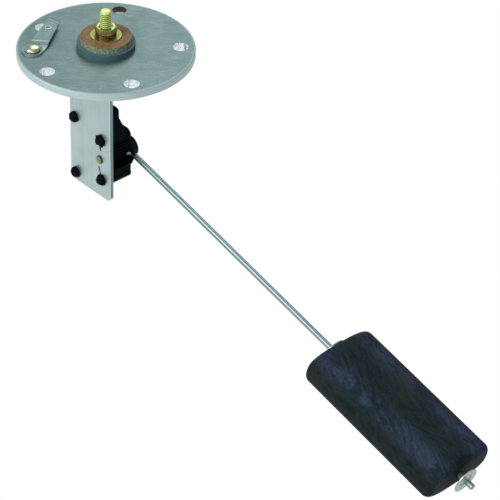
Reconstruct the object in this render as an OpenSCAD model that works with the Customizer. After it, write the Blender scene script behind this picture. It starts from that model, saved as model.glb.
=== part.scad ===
// Fuel level sender with a five hole flange, a swing arm and a float
// Sizes in millimetres, +Z up, origin at the centre of the flange underside
// The pivot runs along Y and the arm points toward +X

/* [Flange] */
// Diameter of the round mounting flange
flange_d = 65; // [63:0.5:70]
// Thickness of the flange
flange_t = 3; // [2:0.1:4]
// Rounding of the flange rim
flange_edge = 0.35; // [0.1:0.05:0.6]
// Distance of the mounting hole centres from the rim
hole_inset = 5.5; // [4.5:0.1:6.5]
// Diameter of each mounting hole
bolt_hole_d = 5.3; // [4.5:0.1:6]

/* [Terminal] */
// Diameter of the terminal stud over its thread
stud_d = 4.3; // [3.8:0.1:4.6]
// Height of the stud end above the flange underside
stud_top = 18; // [17:0.5:22]
// Distance across the flats of the terminal nut
nut_af = 7.1; // [6.6:0.1:8.5]
// Height of the terminal nut
nut_t = 2; // [1.5:0.1:3]
// Diameter of the spring lock washer
lock_washer_d = 7.8; // [7:0.1:8.4]
// Height of the spring lock washer
lock_washer_t = 1.45; // [0.8:0.05:1.8]
// Diameter of the flat washer
flat_washer_d = 11.2; // [9:0.1:13]
// Height of the flat washer
flat_washer_t = 0.45; // [0.4:0.05:1]
// Diameter of the brown insulating washer
insulator_d = 18.7; // [16:0.1:20]
// Height of the brown insulating washer
insulator_t = 2.35; // [1.6:0.05:3]
// Diameter of the rubber seal washer
seal_d = 21.3; // [19:0.1:23]
// Height of the rubber seal washer
seal_t = 2.35; // [1.8:0.05:3]
// Outside diameter of the insulating bush round the stud
bush_d = 8; // [7.4:0.1:8.6]

/* [Ground tab] */
// Width of the push-on blade at its root
blade_w = 6.3; // [4.8:0.1:6.5]
// Thickness of the blade metal
blade_t = 0.8; // [0.5:0.1:1]
// Length from the rivet to the far corner of the blade
blade_l = 21.5; // [19:0.1:24]
// Lift of the blade above its foot
blade_lift = 1.3; // [0.8:0.1:2]
// Diameter of the rivet head
rivet_head_d = 5.8; // [4.6:0.1:5.8]

/* [Bracket] */
// Width of the bracket
bracket_w = 23.4; // [23:0.1:26]
// Thickness of the bracket sheet
bracket_t = 1.3; // [1:0.1:1.5]
// Depth of the bracket below the flange
bracket_drop = 56.2; // [56:0.1:62]
// Radius of the two lower corners
bracket_corner = 2.3; // [1:0.1:2.4]
// Length of the folded foot beyond the stud axis
foot_reach = 9; // [7:0.5:12]

/* [Housing] */
// Distance of the housing rear face behind the stud axis
housing_rear = 3.3; // [3.1:0.1:3.4]
// Radius of each boss that carries a stake
boss_r = 2.6; // [2.2:0.1:2.8]
// Radius of the four stake pins
stake_r = 1.2; // [0.9:0.05:1.3]
// Radius of the four mushroomed stake heads
stake_head_r = 2; // [1.5:0.05:2.2]
// Thickness of the insulator sheet
sheet_t = 0.3; // [0.2:0.05:0.35]

/* [Pivot] */
// Distance of the pivot axis from the stud axis toward the arm
pivot_x = 5.5; // [5.2:0.1:5.7]
// Depth of the pivot axis below the flange
pivot_drop = 39.9; // [39.6:0.1:40.2]
// Diameter of the pivot pin
pin_d = 2.8; // [2.2:0.1:3]
// Radial clearance of the pin in the rotor
pin_gap = 0.04; // [0.02:0.01:0.08]
// Radius of the rotor neck
neck_r = 3.42; // [3.3:0.02:3.6]
// Radial clearance of the neck in the housing
neck_gap = 0.08; // [0.04:0.01:0.1]
// Radius of the rotor head at its front
head_r = 6.07; // [5.6:0.01:6.4]
// Radius of the rotor head at its rear
head_rear_r = 4.04; // [3.6:0.01:4.6]

/* [Arm and float] */
// Angle of the arm below level
arm_angle = 14; // [10:1:18]
// Diameter of the arm rod
rod_d = 2.2; // [2:0.05:2.3]
// Centre line radius of the bend in the rod
bend_r = 2.5; // [2.2:0.1:2.6]
// Distance from the pivot to the near end of the float
float_start = 117.2; // [90:0.1:150]
// Length of the float
float_l = 62.8; // [50:0.1:75]
// Width of the float
float_w = 28.5; // [24:0.1:34]
// Thickness of the float
float_t = 14; // [12:0.1:18]
// Corner radius of the float section
float_corner = 6.2; // [3:0.1:6.6]
// Rounding of the float end edges
float_edge = 2.8; // [0.6:0.1:3]
// End play of the float above the lower push nut
float_play = 2.7; // [0.5:0.1:4]
// Diameter of the push nuts
push_nut_d = 10; // [8:0.1:11]

/* [Hidden] */
$fn = 48;

// Angles of the mounting holes, four steps of 70 degrees and one of 80
hole_angles = [270, 340, 50, 130, 200];
bolt_circle_d = flange_d - 2 * hole_inset;

// Heights of the terminal stack
seal_top = flange_t + seal_t;
insulator_top = seal_top + insulator_t;
flat_washer_top = insulator_top + flat_washer_t;
lock_washer_top = flat_washer_top + lock_washer_t;
nut_top = lock_washer_top + nut_t;
stud_r = stud_d / 2;
stud_chamfer = 0.6;
stud_core_r = stud_r - 0.35;
nut_bore_gap = 0.03;
nut_sink = 0.45;
stud_hole_r = stud_r + 0.1;
bush_r = bush_d / 2;
bush_fit = 0.05;
lower_insulator_r = 6.1;
lower_insulator_t = 1.6;
lower_insulator_bottom = -bracket_t - lower_insulator_t;
strap_t = 0.5;
strap_half = 2;
strap_bottom = lower_insulator_bottom - strap_t;
stud_head_r = 3.6;
stud_head_t = 2.2;

// Ground tab
rivet_inset = 5.915;
rivet_angle = 238.2225;
rivet_x = (flange_d / 2 - rivet_inset) * cos(rivet_angle);
rivet_y = (flange_d / 2 - rivet_inset) * sin(rivet_angle);
rivet_r = 1.5;
rivet_fit = 0.05;
blade_turn = 120.5;
blade_left = 2.1;
blade_taper = 1.4;
tip_back = 2.3;
fold_turn = 13.3;
tab_foot_r = 3.8;
ramp_start = 3.25;
ramp_end = 4.75;
blade_hole_r = 1;
blade_hole_x = 14.8;
blade_hole_y = -0.3;

// Bracket planes, the sheet front face lies at the front of the part
front = -8;
back = front + bracket_t;
fold_r = bracket_t + 0.7;
half_w = bracket_w / 2;
pivot_z = -pivot_drop;

// Stakes, two near the pivot and two on the far side
near_stake_x = pivot_x + 1;
near_stake_dz = 8.7;
far_stake_x = pivot_x - 14.5;
far_stake_z = pivot_z - 0.7;
far_stake_dz = 12.25;
stakes = [
    [near_stake_x, pivot_z + near_stake_dz], [near_stake_x, pivot_z - near_stake_dz],
    [far_stake_x, far_stake_z + far_stake_dz], [far_stake_x, far_stake_z - far_stake_dz]
];
stake_fit = 0.1;
stake_head_t = 1.4;

// Housing base
base_rear = -3.8;
base_left = far_stake_x - 2.4;
base_right = 11.65;
base_top = -16.3;
step_z = pivot_z + 14.7;
base_tail = far_stake_z - far_stake_dz - 2.4;
tail_right = far_stake_x + 2.6;
rim = 0.45;
sheet_inset = 0.6;
sheet_rear = back + sheet_t;
floor_y = -4.5;
pad_t = 0.25;
boss_x = pivot_x + 1.95;
boss_dz = 8.1;
base_mid = boss_x + boss_r;
base_low = pivot_z - boss_dz - boss_r;
body_r = 6.4;
body_right = pivot_x + 4.4;
window_half = 3.2;
relief_r = neck_r + neck_gap + 0.9;
relief_depth = 1.5;
rib_t = 0.5;

// Resistor
card_front = -5.3;
card_rear = floor_y - pad_t;
wire_front = -5.55;
sweep_low = 117;
sweep_high = 215;
strap_front = card_front - strap_t;
joint_angle = 108;
joint_x = pivot_x + 10 * cos(joint_angle);
joint_z = pivot_z + 10 * sin(joint_angle);

// Rotor and pivot
pin_r = pin_d / 2;
pin_rear = -3.2;
rotor_front = -5.8;
rotor_flange_r = 4.5;
rotor_flange_rear = floor_y - 0.3;
head_front = housing_rear + 0.25;
head_t = 3.8;
rod_r = rod_d / 2;
channel = rod_r + 0.05;
arm_y = head_front + 0.2 + rod_r;
leg_x = 1.9;
leg_start = -2.5;
slot_start = arm_y - bend_r - 0.4;
rod_chamfer = 0.3;

// Float and push nuts
float_corner_r = min(float_corner, float_t / 2 - 0.3);
float_edge_r = min(float_edge, float_corner_r / 2 - 0.1);
float_gap = 0.5;
float_end = float_start + float_l;
nut_height = 0.9;
rod_end = float_end + float_play + nut_height + 3;
float_bore_r = rod_r + 0.08;
nut_bore_r = rod_r + 0.02;
sheet_nut_t = 0.4;

// Extrudes an outline drawn in X and Z between two Y planes
module in_xz(y0, y1) {
    translate([0, y1, 0])
        rotate([90, 0, 0])
            linear_extrude(height = y1 - y0)
                children();
}

// Extrudes an outline drawn in Y and Z between two X planes
module in_yz(x0, x1) {
    translate([x0, 0, 0])
        rotate([90, 0, 90])
            linear_extrude(height = x1 - x0)
                children();
}

// Cylinder along Y between two planes
module bar_y(x, z, r, y0, y1) {
    translate([x, y0, z])
        rotate([-90, 0, 0])
            cylinder(r = r, h = y1 - y0);
}

// Cylinder along Z between two heights
module bar_z(r, z0, z1) {
    translate([0, 0, z0])
        cylinder(r = r, h = z1 - z0);
}

// Frame of the arm, X along the rod and the pivot at zero
module arm_frame() {
    translate([pivot_x, 0, pivot_z])
        rotate([0, arm_angle, 0])
            children();
}

// Sector of a ring round the pivot, drawn in X and Z
module ring_sector(r0, r1, a0, a1) {
    am = (a0 + a1) / 2;
    far = 3 * r1;
    translate([pivot_x, pivot_z])
        intersection() {
            difference() {
                circle(r = r1);
                circle(r = r0);
            }
            polygon([
                [0, 0], [far * cos(a0), far * sin(a0)],
                [far * cos(am), far * sin(am)], [far * cos(a1), far * sin(a1)]
            ]);
        }
}

// Outline of the housing base drawn in by a margin
module base_outline(margin) {
    r_top = 1.4 - margin;
    r_low = boss_r - margin;
    r_tail = 2.4 - margin;
    x0 = base_left + margin;
    x1 = base_mid - margin;
    x2 = base_right - margin;
    zs = step_z - 0.8 + margin;
    z1 = base_top - margin;
    z0 = base_low + margin;
    zt = base_tail + margin;
    xt = tail_right - margin;
    polygon([
        [x0, zt + r_tail], [x0 + r_tail, zt], [xt - r_tail, zt], [xt, zt + r_tail], [xt, z0],
        [x1 - r_low, z0], [x1, z0 + r_low], [x1, zs], [x2, zs], [x2, z1 - r_top], [x2 - r_top, z1],
        [x0 + r_top, z1], [x0, z1 - r_top]
    ]);
    translate([x0 + r_tail, zt + r_tail])
        circle(r = r_tail);
    translate([xt - r_tail, zt + r_tail])
        circle(r = r_tail);
    translate([x1 - r_low, z0 + r_low])
        circle(r = r_low);
    translate([x2 - r_top, z1 - r_top])
        circle(r = r_top);
    translate([x0 + r_top, z1 - r_top])
        circle(r = r_top);
}

// Hollow for the resistor, the wiper and the feed strap
module cavity_outline() {
    translate([pivot_x, pivot_z])
        circle(r = rotor_flange_r + 0.4);
    translate([pivot_x, pivot_z])
        intersection() {
            circle(r = 12.5);
            polygon([
                [0, 0], [40 * cos(98), 40 * sin(98)], [-40, 40],
                [-60, 0], [40 * cos(224), 40 * sin(224)]
            ]);
        }
    translate([-strap_half - 0.7, pivot_z + 10])
        square([2 * strap_half + 1.4, base_top + 1 - pivot_z - 10]);
    translate([-strap_half - 0.7, pivot_z + 10.9])
        square([pivot_x + 1.2, 5.5]);
}

module mounting_flange() {
    color("silver")
        difference() {
            union() {
                bar_z(flange_d / 2 - flange_edge, 0, flange_t);
                bar_z(flange_d / 2, flange_edge, flange_t - flange_edge);
                translate([0, 0, flange_edge])
                    rotate_extrude()
                        translate([flange_d / 2 - flange_edge, 0])
                            circle(r = flange_edge, $fn = 16);
                translate([0, 0, flange_t - flange_edge])
                    rotate_extrude()
                        translate([flange_d / 2 - flange_edge, 0])
                            circle(r = flange_edge, $fn = 16);
            }
            for (a = hole_angles)
                rotate([0, 0, a])
                    translate([bolt_circle_d / 2, 0, -1])
                        cylinder(d = bolt_hole_d, h = flange_t + 2);
            bar_z(bush_r + bush_fit, -1, flange_t + 1);
            translate([rivet_x, rivet_y, -1])
                cylinder(r = rivet_r + rivet_fit, h = flange_t + 2);
        }
}

module ground_tab() {
    root_right = blade_left - blade_w;
    tip_right = root_right + blade_taper;
    top = blade_lift + blade_t;
    tip_angle = -atan(tip_back / (blade_left - tip_right));
    color("lightgray")
        translate([rivet_x, rivet_y, flange_t])
            rotate([0, 0, blade_turn])
                difference() {
                    intersection() {
                        rotate([0, 0, fold_turn])
                            translate([0, -20, 0])
                                rotate([90, 0, 0])
                                    mirror([0, 0, 1])
                                        linear_extrude(height = 40)
                                            polygon([
                                                [-5, 0], [ramp_start, 0], [ramp_end, blade_lift],
                                                [40, blade_lift], [40, top],
                                                [ramp_end - 0.3, top], [ramp_start - 0.3, blade_t], [-5, blade_t]
                                            ]);
                        union() {
                            translate([0, 0, -1])
                                cylinder(r = tab_foot_r, h = 6);
                            translate([0, 0, -1])
                                linear_extrude(height = 6)
                                    polygon([
                                        [0, -tab_foot_r], [5.6, root_right], [blade_l - tip_back, tip_right],
                                        [blade_l, blade_left], [4.2, blade_left], [2.6, 2.6], [0, tab_foot_r]
                                    ]);
                        }
                    }
                    translate([0, 0, -1])
                        cylinder(r = rivet_r + rivet_fit, h = 4);
                    translate([blade_hole_x, blade_hole_y, -1])
                        cylinder(r = blade_hole_r, h = 6);
                    // Bevels that lead the receptacle onto the slanted tip
                    translate([blade_l, blade_left, blade_lift])
                        rotate([0, 0, tip_angle])
                            for (m = [0, 1])
                                translate([0, 0, m * blade_t])
                                    mirror([0, 0, m])
                                        translate([0, 3, 0])
                                            rotate([90, 0, 0])
                                                linear_extrude(height = 12)
                                                    polygon([
                                                        [-1.2, 0], [-1.2, -1], [0.4, -1], [0.4, 0.4 * blade_t]
                                                    ]);
                }
}

module ground_rivet() {
    head_r2 = rivet_head_d / 2;
    dome_h = 1.05;
    dome_r = (head_r2 * head_r2 + dome_h * dome_h) / (2 * dome_h);
    color("khaki")
        translate([rivet_x, rivet_y, 0]) {
            bar_z(rivet_r, 0, flange_t + blade_t + 0.2);
            intersection() {
                translate([0, 0, flange_t + blade_t + dome_h - dome_r])
                    sphere(r = dome_r);
                bar_z(head_r2, flange_t + blade_t, flange_t + blade_t + 3);
            }
        }
}

module terminal_stud() {
    color("goldenrod") {
        bar_z(stud_core_r, strap_bottom, nut_top + 0.01);
        bar_z(stud_r, nut_top, stud_top - stud_chamfer);
        translate([0, 0, stud_top - stud_chamfer])
            cylinder(r1 = stud_r, r2 = stud_r - stud_chamfer, h = stud_chamfer);
        difference() {
            bar_z(stud_head_r, strap_bottom - stud_head_t, strap_bottom);
            translate([-5, -0.5, strap_bottom - stud_head_t - 1])
                cube([10, 1, 2]);
        }
    }
}

module terminal_nut() {
    across = nut_af / cos(30);
    color("gold")
        difference() {
            intersection() {
                rotate([0, 0, -74])
                    translate([0, 0, lock_washer_top])
                        cylinder(d = across, h = nut_t, $fn = 6);
                union() {
                    bar_z(across, lock_washer_top - 1, nut_top - 0.45);
                    translate([0, 0, nut_top - 0.45])
                        cylinder(r1 = across / 2 + 0.1, r2 = across / 2 - 0.68, h = 0.45);
                }
            }
            bar_z(stud_core_r + nut_bore_gap, lock_washer_top - 1, nut_top + 1);
            translate([0, 0, nut_top - nut_sink])
                cylinder(r1 = stud_r, r2 = stud_r + 2 * nut_sink, h = 2 * nut_sink);
        }
}

module lock_washer() {
    color("peru")
        difference() {
            bar_z(lock_washer_d / 2, flat_washer_top, lock_washer_top);
            bar_z(stud_hole_r, flat_washer_top - 1, lock_washer_top + 1);
            rotate([0, 0, -20])
                translate([0, -0.25, flat_washer_top - 1])
                    cube([lock_washer_d, 0.5, lock_washer_t + 2]);
        }
}

module flat_washer() {
    color("gold")
        difference() {
            bar_z(flat_washer_d / 2, insulator_top, flat_washer_top);
            bar_z(stud_hole_r, insulator_top - 1, flat_washer_top + 1);
        }
}

module insulating_washer() {
    color("saddlebrown")
        difference() {
            bar_z(insulator_d / 2, seal_top, insulator_top);
            bar_z(stud_hole_r, seal_top - 1, insulator_top + 1);
        }
}

module seal_washer() {
    color("slategray")
        difference() {
            bar_z(seal_d / 2, flange_t, seal_top);
            bar_z(bush_r + bush_fit, flange_t - 1, seal_top + 1);
        }
}

module insulating_bush() {
    color("saddlebrown")
        difference() {
            bar_z(bush_r, -bracket_t, seal_top);
            bar_z(stud_hole_r, -bracket_t - 1, seal_top + 1);
        }
}

module lower_insulator() {
    color("saddlebrown")
        difference() {
            bar_z(lower_insulator_r, lower_insulator_bottom, -bracket_t);
            bar_z(stud_hole_r, lower_insulator_bottom - 1, 1 - bracket_t);
        }
}

module feed_strap() {
    turn_r = 1;
    turn_y = strap_front + turn_r;
    turn_z = lower_insulator_bottom - turn_r;
    shoulder = pivot_z + 15.4;
    end_z = joint_z - 1.2;
    color("gold")
        difference() {
            union() {
                bar_z(4.3, strap_bottom, lower_insulator_bottom);
                in_yz(-strap_half, strap_half) {
                    translate([turn_y, strap_bottom])
                        square([-turn_y, strap_t]);
                    intersection() {
                        translate([turn_y, turn_z])
                            difference() {
                                circle(r = turn_r);
                                circle(r = turn_r - strap_t);
                            }
                        translate([strap_front - 1, turn_z])
                            square([turn_r + 1, 2]);
                    }
                }
                in_xz(strap_front, card_front)
                    polygon([
                        [-strap_half, turn_z], [strap_half, turn_z], [strap_half, shoulder],
                        [joint_x + 1.2, joint_z + 2.1], [joint_x + 1.2, end_z],
                        [joint_x - 1.2, end_z], [joint_x - 1.2, joint_z + 0.9], [-strap_half, shoulder - 1]
                    ]);
            }
            bar_z(stud_hole_r, strap_bottom - 1, lower_insulator_bottom + 1);
            bar_y(joint_x, joint_z, 0.75, strap_front - 1, card_front + 1);
        }
}

module bracket() {
    low = -bracket_drop;
    c = bracket_corner;
    color("lightsteelblue")
        difference() {
            union() {
                in_xz(front, back) {
                    translate([-half_w, low + c])
                        square([bracket_w, bracket_drop - c - fold_r]);
                    translate([-half_w + c, low])
                        square([bracket_w - 2 * c, c + 1]);
                    translate([-half_w + c, low + c])
                        circle(r = c);
                    translate([half_w - c, low + c])
                        circle(r = c);
                }
                in_yz(-half_w, half_w)
                    intersection() {
                        translate([front + fold_r, -fold_r])
                            difference() {
                                circle(r = fold_r);
                                circle(r = fold_r - bracket_t);
                            }
                        translate([front - 1, -fold_r])
                            square([fold_r + 1, fold_r + 1]);
                    }
                translate([0, 0, -bracket_t])
                    linear_extrude(height = bracket_t) {
                        translate([-half_w, front + fold_r])
                            square([bracket_w, foot_reach - 3 - front - fold_r]);
                        translate([-half_w + 3, front + fold_r])
                            square([bracket_w - 6, foot_reach - front - fold_r]);
                        translate([-half_w + 3, foot_reach - 3])
                            circle(r = 3);
                        translate([half_w - 3, foot_reach - 3])
                            circle(r = 3);
                    }
            }
            bar_z(bush_r + bush_fit, -bracket_t - 1, 1);
            for (p = stakes)
                bar_y(p[0], p[1], stake_r + stake_fit, front - 1, back + 1);
            bar_y(pivot_x, pivot_z, pin_r, front - 1, back + 1);
            bar_y(pivot_x, pivot_z, pin_r + 0.3, front - 1, front + 0.3);
            bar_y(pivot_x + 0.3, pivot_z + 5.5, 0.6, front - 1, front + 0.3);
            bar_y(pivot_x - 0.4, pivot_z - 5.55, 0.6, front - 1, front + 0.3);
        }
}

module sender_housing() {
    cap_r = (stake_head_r * stake_head_r + stake_head_t * stake_head_t) / (2 * stake_head_t);
    color("dimgray")
        difference() {
            union() {
                // Base with its recess, cavity and card pads
                difference() {
                    in_xz(back, base_rear)
                        base_outline(0);
                    in_xz(back - 1, sheet_rear)
                        base_outline(rim);
                    in_xz(back - 1, sheet_rear)
                        translate([-4.1, base_top - 1])
                            square([8.2, 2]);
                    in_xz(back - 1, floor_y)
                        cavity_outline();
                }
                in_xz(card_rear, floor_y) {
                    ring_sector(8.1, 11.9, 102, 114);
                    ring_sector(8.1, 11.9, 217, 221);
                }
                // Rear body, bosses and strengthening ribs
                in_xz(floor_y, housing_rear) {
                    translate([pivot_x, pivot_z])
                        circle(r = body_r);
                    translate([pivot_x, pivot_z - body_r])
                        square([body_right - pivot_x, 2 * body_r]);
                    translate([boss_x - boss_r, pivot_z - boss_dz])
                        square([2 * boss_r - 0.3, 2 * boss_dz]);
                    for (s = [-1, 1])
                        translate([boss_x, pivot_z + s * boss_dz])
                            circle(r = boss_r);
                }
                for (i = [0, 1, 2])
                    translate([base_mid - 0.3, back, pivot_z + window_half + 0.5 + 1.25 * i])
                        cube([0.75, housing_rear - back, rib_t]);
                in_yz(base_right - 2.4, base_right)
                    polygon([
                        [base_rear - 0.5, step_z + 5], [base_rear, step_z + 5], [-1.4, step_z],
                        [-1.4, step_z - 0.8], [base_rear - 0.5, step_z - 0.8]
                    ]);
                in_yz(boss_x, base_mid)
                    polygon([
                        [base_rear - 0.5, step_z], [-1.4, step_z], [1.3, step_z - 2],
                        [1.3, pivot_z + boss_dz], [base_rear - 0.5, pivot_z + boss_dz]
                    ]);
                in_yz(base_left + 1.5, base_left + 2.9)
                    polygon([
                        [base_rear - 0.5, pivot_z + 19.8], [base_rear, pivot_z + 19.8], [-1.8, pivot_z + 15],
                        [-1.8, pivot_z - 9], [base_rear, pivot_z - 11], [base_rear - 0.5, pivot_z - 11]
                    ]);
                in_xz(base_rear - 0.5, -1.8) {
                    translate([base_left + 1.5, pivot_z + 5])
                        square([pivot_x - base_left - 3, 1.2]);
                    translate([base_left + 1.5, pivot_z - 6.2])
                        square([pivot_x - base_left - 3, 1.2]);
                }
                // Four stake pins with mushroomed heads in front of the bracket
                for (p = stakes) {
                    bar_y(p[0], p[1], stake_r, front - 0.2, base_rear - 0.5);
                    intersection() {
                        translate([p[0], front - stake_head_t + cap_r, p[1]])
                            sphere(r = cap_r);
                        bar_y(p[0], p[1], stake_head_r, front - 2, front);
                    }
                }
            }
            // Journal for the rotor neck with a relief for the bend of the rod
            bar_y(pivot_x, pivot_z, neck_r + neck_gap, floor_y - 1, housing_rear + 1);
            bar_y(pivot_x, pivot_z, relief_r, housing_rear - relief_depth, housing_rear + 1);
            // Side window on the arm side
            translate([pivot_x, back - 1, pivot_z - window_half])
                cube([10, housing_rear - back + 2, 2 * window_half]);
        }
}

module insulator_sheet() {
    color("linen")
        difference() {
            union() {
                in_xz(back, sheet_rear)
                    base_outline(sheet_inset);
                in_xz(back, sheet_rear)
                    translate([-4, base_top - 3])
                        square([8, -base_top - 1]);
            }
            for (p = stakes)
                bar_y(p[0], p[1], stake_r + stake_fit, back - 1, sheet_rear + 1);
            bar_y(pivot_x, pivot_z, pin_r + 0.3, back - 1, sheet_rear + 1);
        }
}

module resistor_card() {
    color("burlywood")
        difference() {
            in_xz(card_front, card_rear) {
                ring_sector(8.6, 11.2, 112, 219);
                ring_sector(8, 12, 102, 115.5);
                ring_sector(8, 12, 216.5, 221);
            }
            bar_y(joint_x, joint_z, 0.75, card_front - 1, card_rear + 1);
        }
}

module resistor_winding() {
    color("gray")
        difference() {
            in_xz(wire_front, floor_y)
                ring_sector(8.35, 11.45, sweep_low, sweep_high);
            in_xz(card_front, card_rear)
                ring_sector(8.6, 11.2, sweep_low - 5, sweep_high + 5);
        }
}

module strap_rivet() {
    color("gold") {
        bar_y(joint_x, joint_z, 0.7, strap_front - 0.1, card_rear);
        bar_y(joint_x, joint_z, 1.1, strap_front - 0.25, strap_front);
    }
}

module pivot_pin() {
    color("goldenrod") {
        bar_y(pivot_x, pivot_z, pin_r, front - 0.3, pin_rear - 0.3);
        translate([pivot_x, pin_rear - 0.3, pivot_z])
            rotate([-90, 0, 0])
                cylinder(r1 = pin_r, r2 = pin_r - 0.3, h = 0.3);
    }
}

module rotor() {
    color("darkslategray")
        arm_frame()
            difference() {
                union() {
                    bar_y(0, 0, rotor_flange_r, rotor_front, rotor_flange_rear);
                    bar_y(0, 0, neck_r, rotor_front + 0.1, head_front + 0.1);
                    translate([0, head_front, 0])
                        rotate([-90, 0, 0])
                            cylinder(r1 = head_r, r2 = head_rear_r, h = head_t);
                }
                bar_y(0, 0, pin_r + pin_gap, rotor_front - 1, pin_rear + 0.3);
                bar_y(leg_x, 0, channel, leg_start - 0.1, arm_y);
                translate([leg_x, slot_start, -channel])
                    cube([10, arm_y + channel - slot_start, 2 * channel]);
            }
}

module wiper_contact() {
    tip_x = -9.9;
    color("darkgoldenrod")
        arm_frame() {
            difference() {
                in_xz(rotor_front - 0.25, rotor_front) {
                    circle(r = 3.4);
                    polygon([[0, -1.8], [0, 1.8], [tip_x, 0.6], [tip_x, -0.6]]);
                    translate([tip_x, 0])
                        circle(r = 0.6);
                }
                bar_y(0, 0, pin_r + 0.4, rotor_front - 1, rotor_front + 1);
            }
            bar_y(tip_x, 0, 0.5, rotor_front - 0.05, wire_front - 0.05);
        }
}

module float_arm() {
    color("silver")
        arm_frame() {
            translate([leg_x, leg_start, 0])
                rotate([-90, 0, 0])
                    cylinder(r1 = rod_r - rod_chamfer, r2 = rod_r, h = rod_chamfer);
            bar_y(leg_x, 0, rod_r, leg_start + rod_chamfer, arm_y - bend_r);
            translate([leg_x + bend_r, arm_y - bend_r, 0])
                rotate([0, 0, 90])
                    rotate_extrude(angle = 90)
                        translate([bend_r, 0])
                            circle(r = rod_r, $fn = 32);
            translate([leg_x + bend_r, arm_y, 0])
                rotate([0, 90, 0])
                    cylinder(r = rod_r, h = rod_end - rod_chamfer - leg_x - bend_r);
            translate([rod_end - rod_chamfer, arm_y, 0])
                rotate([0, 90, 0])
                    cylinder(r1 = rod_r, r2 = rod_r - rod_chamfer, h = rod_chamfer);
        }
}

// Rectangle with four rounded corners, from zero to its length and centred across
module pill(l, w, r) {
    translate([r, -w / 2])
        square([l - 2 * r, w]);
    translate([0, -w / 2 + r])
        square([l, w - 2 * r]);
    for (x = [r, l - r])
        for (y = [-w / 2 + r, w / 2 - r])
            translate([x, y])
                circle(r = r, $fn = 32);
}

module float() {
    half_y = float_w / 2 - float_corner_r;
    half_z = float_t / 2 - float_corner_r;
    e = float_edge_r;
    color("dimgray")
        arm_frame()
            translate([float_start, arm_y, 0])
                difference() {
                    union() {
                        translate([0, half_y, 0])
                            rotate([90, 0, 0])
                                linear_extrude(height = 2 * half_y)
                                    pill(float_l, float_t, e);
                        translate([0, 0, -half_z])
                            linear_extrude(height = 2 * half_z)
                                pill(float_l, float_w, e);
                        for (y = [-half_y, half_y])
                            for (z = [-half_z, half_z])
                                translate([0, y, z])
                                    rotate([0, 90, 0]) {
                                        translate([0, 0, e])
                                            cylinder(r = float_corner_r, h = float_l - 2 * e);
                                        cylinder(r = float_corner_r - e, h = float_l);
                                        translate([0, 0, e])
                                            rotate_extrude()
                                                translate([float_corner_r - e, 0])
                                                    circle(r = e, $fn = 32);
                                        translate([0, 0, float_l - e])
                                            rotate_extrude()
                                                translate([float_corner_r - e, 0])
                                                    circle(r = e, $fn = 32);
                                    }
                    }
                    translate([-1, 0, 0])
                        rotate([0, 90, 0])
                            cylinder(r = float_bore_r, h = float_l + 2);
                }
}

// Dished sheet nut with six slots, its flat rim on the plane at zero
module push_nut() {
    r1 = push_nut_d / 2;
    difference() {
        rotate([0, 90, 0])
            rotate_extrude()
                polygon([
                    [nut_bore_r, nut_height - sheet_nut_t], [r1 - 1.6, 0], [r1, 0],
                    [r1, sheet_nut_t], [r1 - 1.6, sheet_nut_t], [nut_bore_r, nut_height]
                ]);
        for (a = [0, 60, 120])
            rotate([a, 0, 0])
                translate([-1, -r1 + 1.6, -0.25])
                    cube([nut_height + 2, 2 * r1 - 3.2, 0.5]);
    }
}

module upper_push_nut() {
    color("silver")
        arm_frame()
            translate([float_start - float_gap, arm_y, 0])
                mirror([1, 0, 0])
                    push_nut();
}

module lower_push_nut() {
    color("silver")
        arm_frame()
            translate([float_end + float_play, arm_y, 0])
                push_nut();
}

mounting_flange();
ground_tab();
ground_rivet();
terminal_stud();
terminal_nut();
lock_washer();
flat_washer();
insulating_washer();
seal_washer();
insulating_bush();
lower_insulator();
feed_strap();
bracket();
sender_housing();
insulator_sheet();
resistor_card();
resistor_winding();
strap_rivet();
pivot_pin();
rotor();
wiper_contact();
float_arm();
float();
upper_push_nut();
lower_push_nut();
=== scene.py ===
import math

import bmesh
import bpy
from bpy.props import FloatProperty, FloatVectorProperty, PointerProperty
from mathutils import Matrix, Vector, noise


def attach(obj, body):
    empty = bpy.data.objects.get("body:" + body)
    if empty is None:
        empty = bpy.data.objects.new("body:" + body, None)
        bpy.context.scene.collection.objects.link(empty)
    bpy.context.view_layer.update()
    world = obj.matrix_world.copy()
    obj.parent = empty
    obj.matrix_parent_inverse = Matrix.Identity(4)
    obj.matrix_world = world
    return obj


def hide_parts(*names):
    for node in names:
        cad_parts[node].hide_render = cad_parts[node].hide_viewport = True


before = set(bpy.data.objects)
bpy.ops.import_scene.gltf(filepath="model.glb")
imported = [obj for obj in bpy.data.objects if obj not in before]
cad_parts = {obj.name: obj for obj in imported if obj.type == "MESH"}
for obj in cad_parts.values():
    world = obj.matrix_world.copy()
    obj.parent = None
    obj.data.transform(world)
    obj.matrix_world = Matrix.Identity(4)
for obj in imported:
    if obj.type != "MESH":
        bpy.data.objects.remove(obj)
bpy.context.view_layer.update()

bl_info = {
    "name": "Fuel level sender",
    "version": (1, 0, 0),
    "blender": (4, 5, 0),
    "location": "View3D > Sidebar > Sender",
    "description": "Dresses the packed fuel level sender and sets its studio",
    "category": "Object",
}

MM = 0.001

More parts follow.
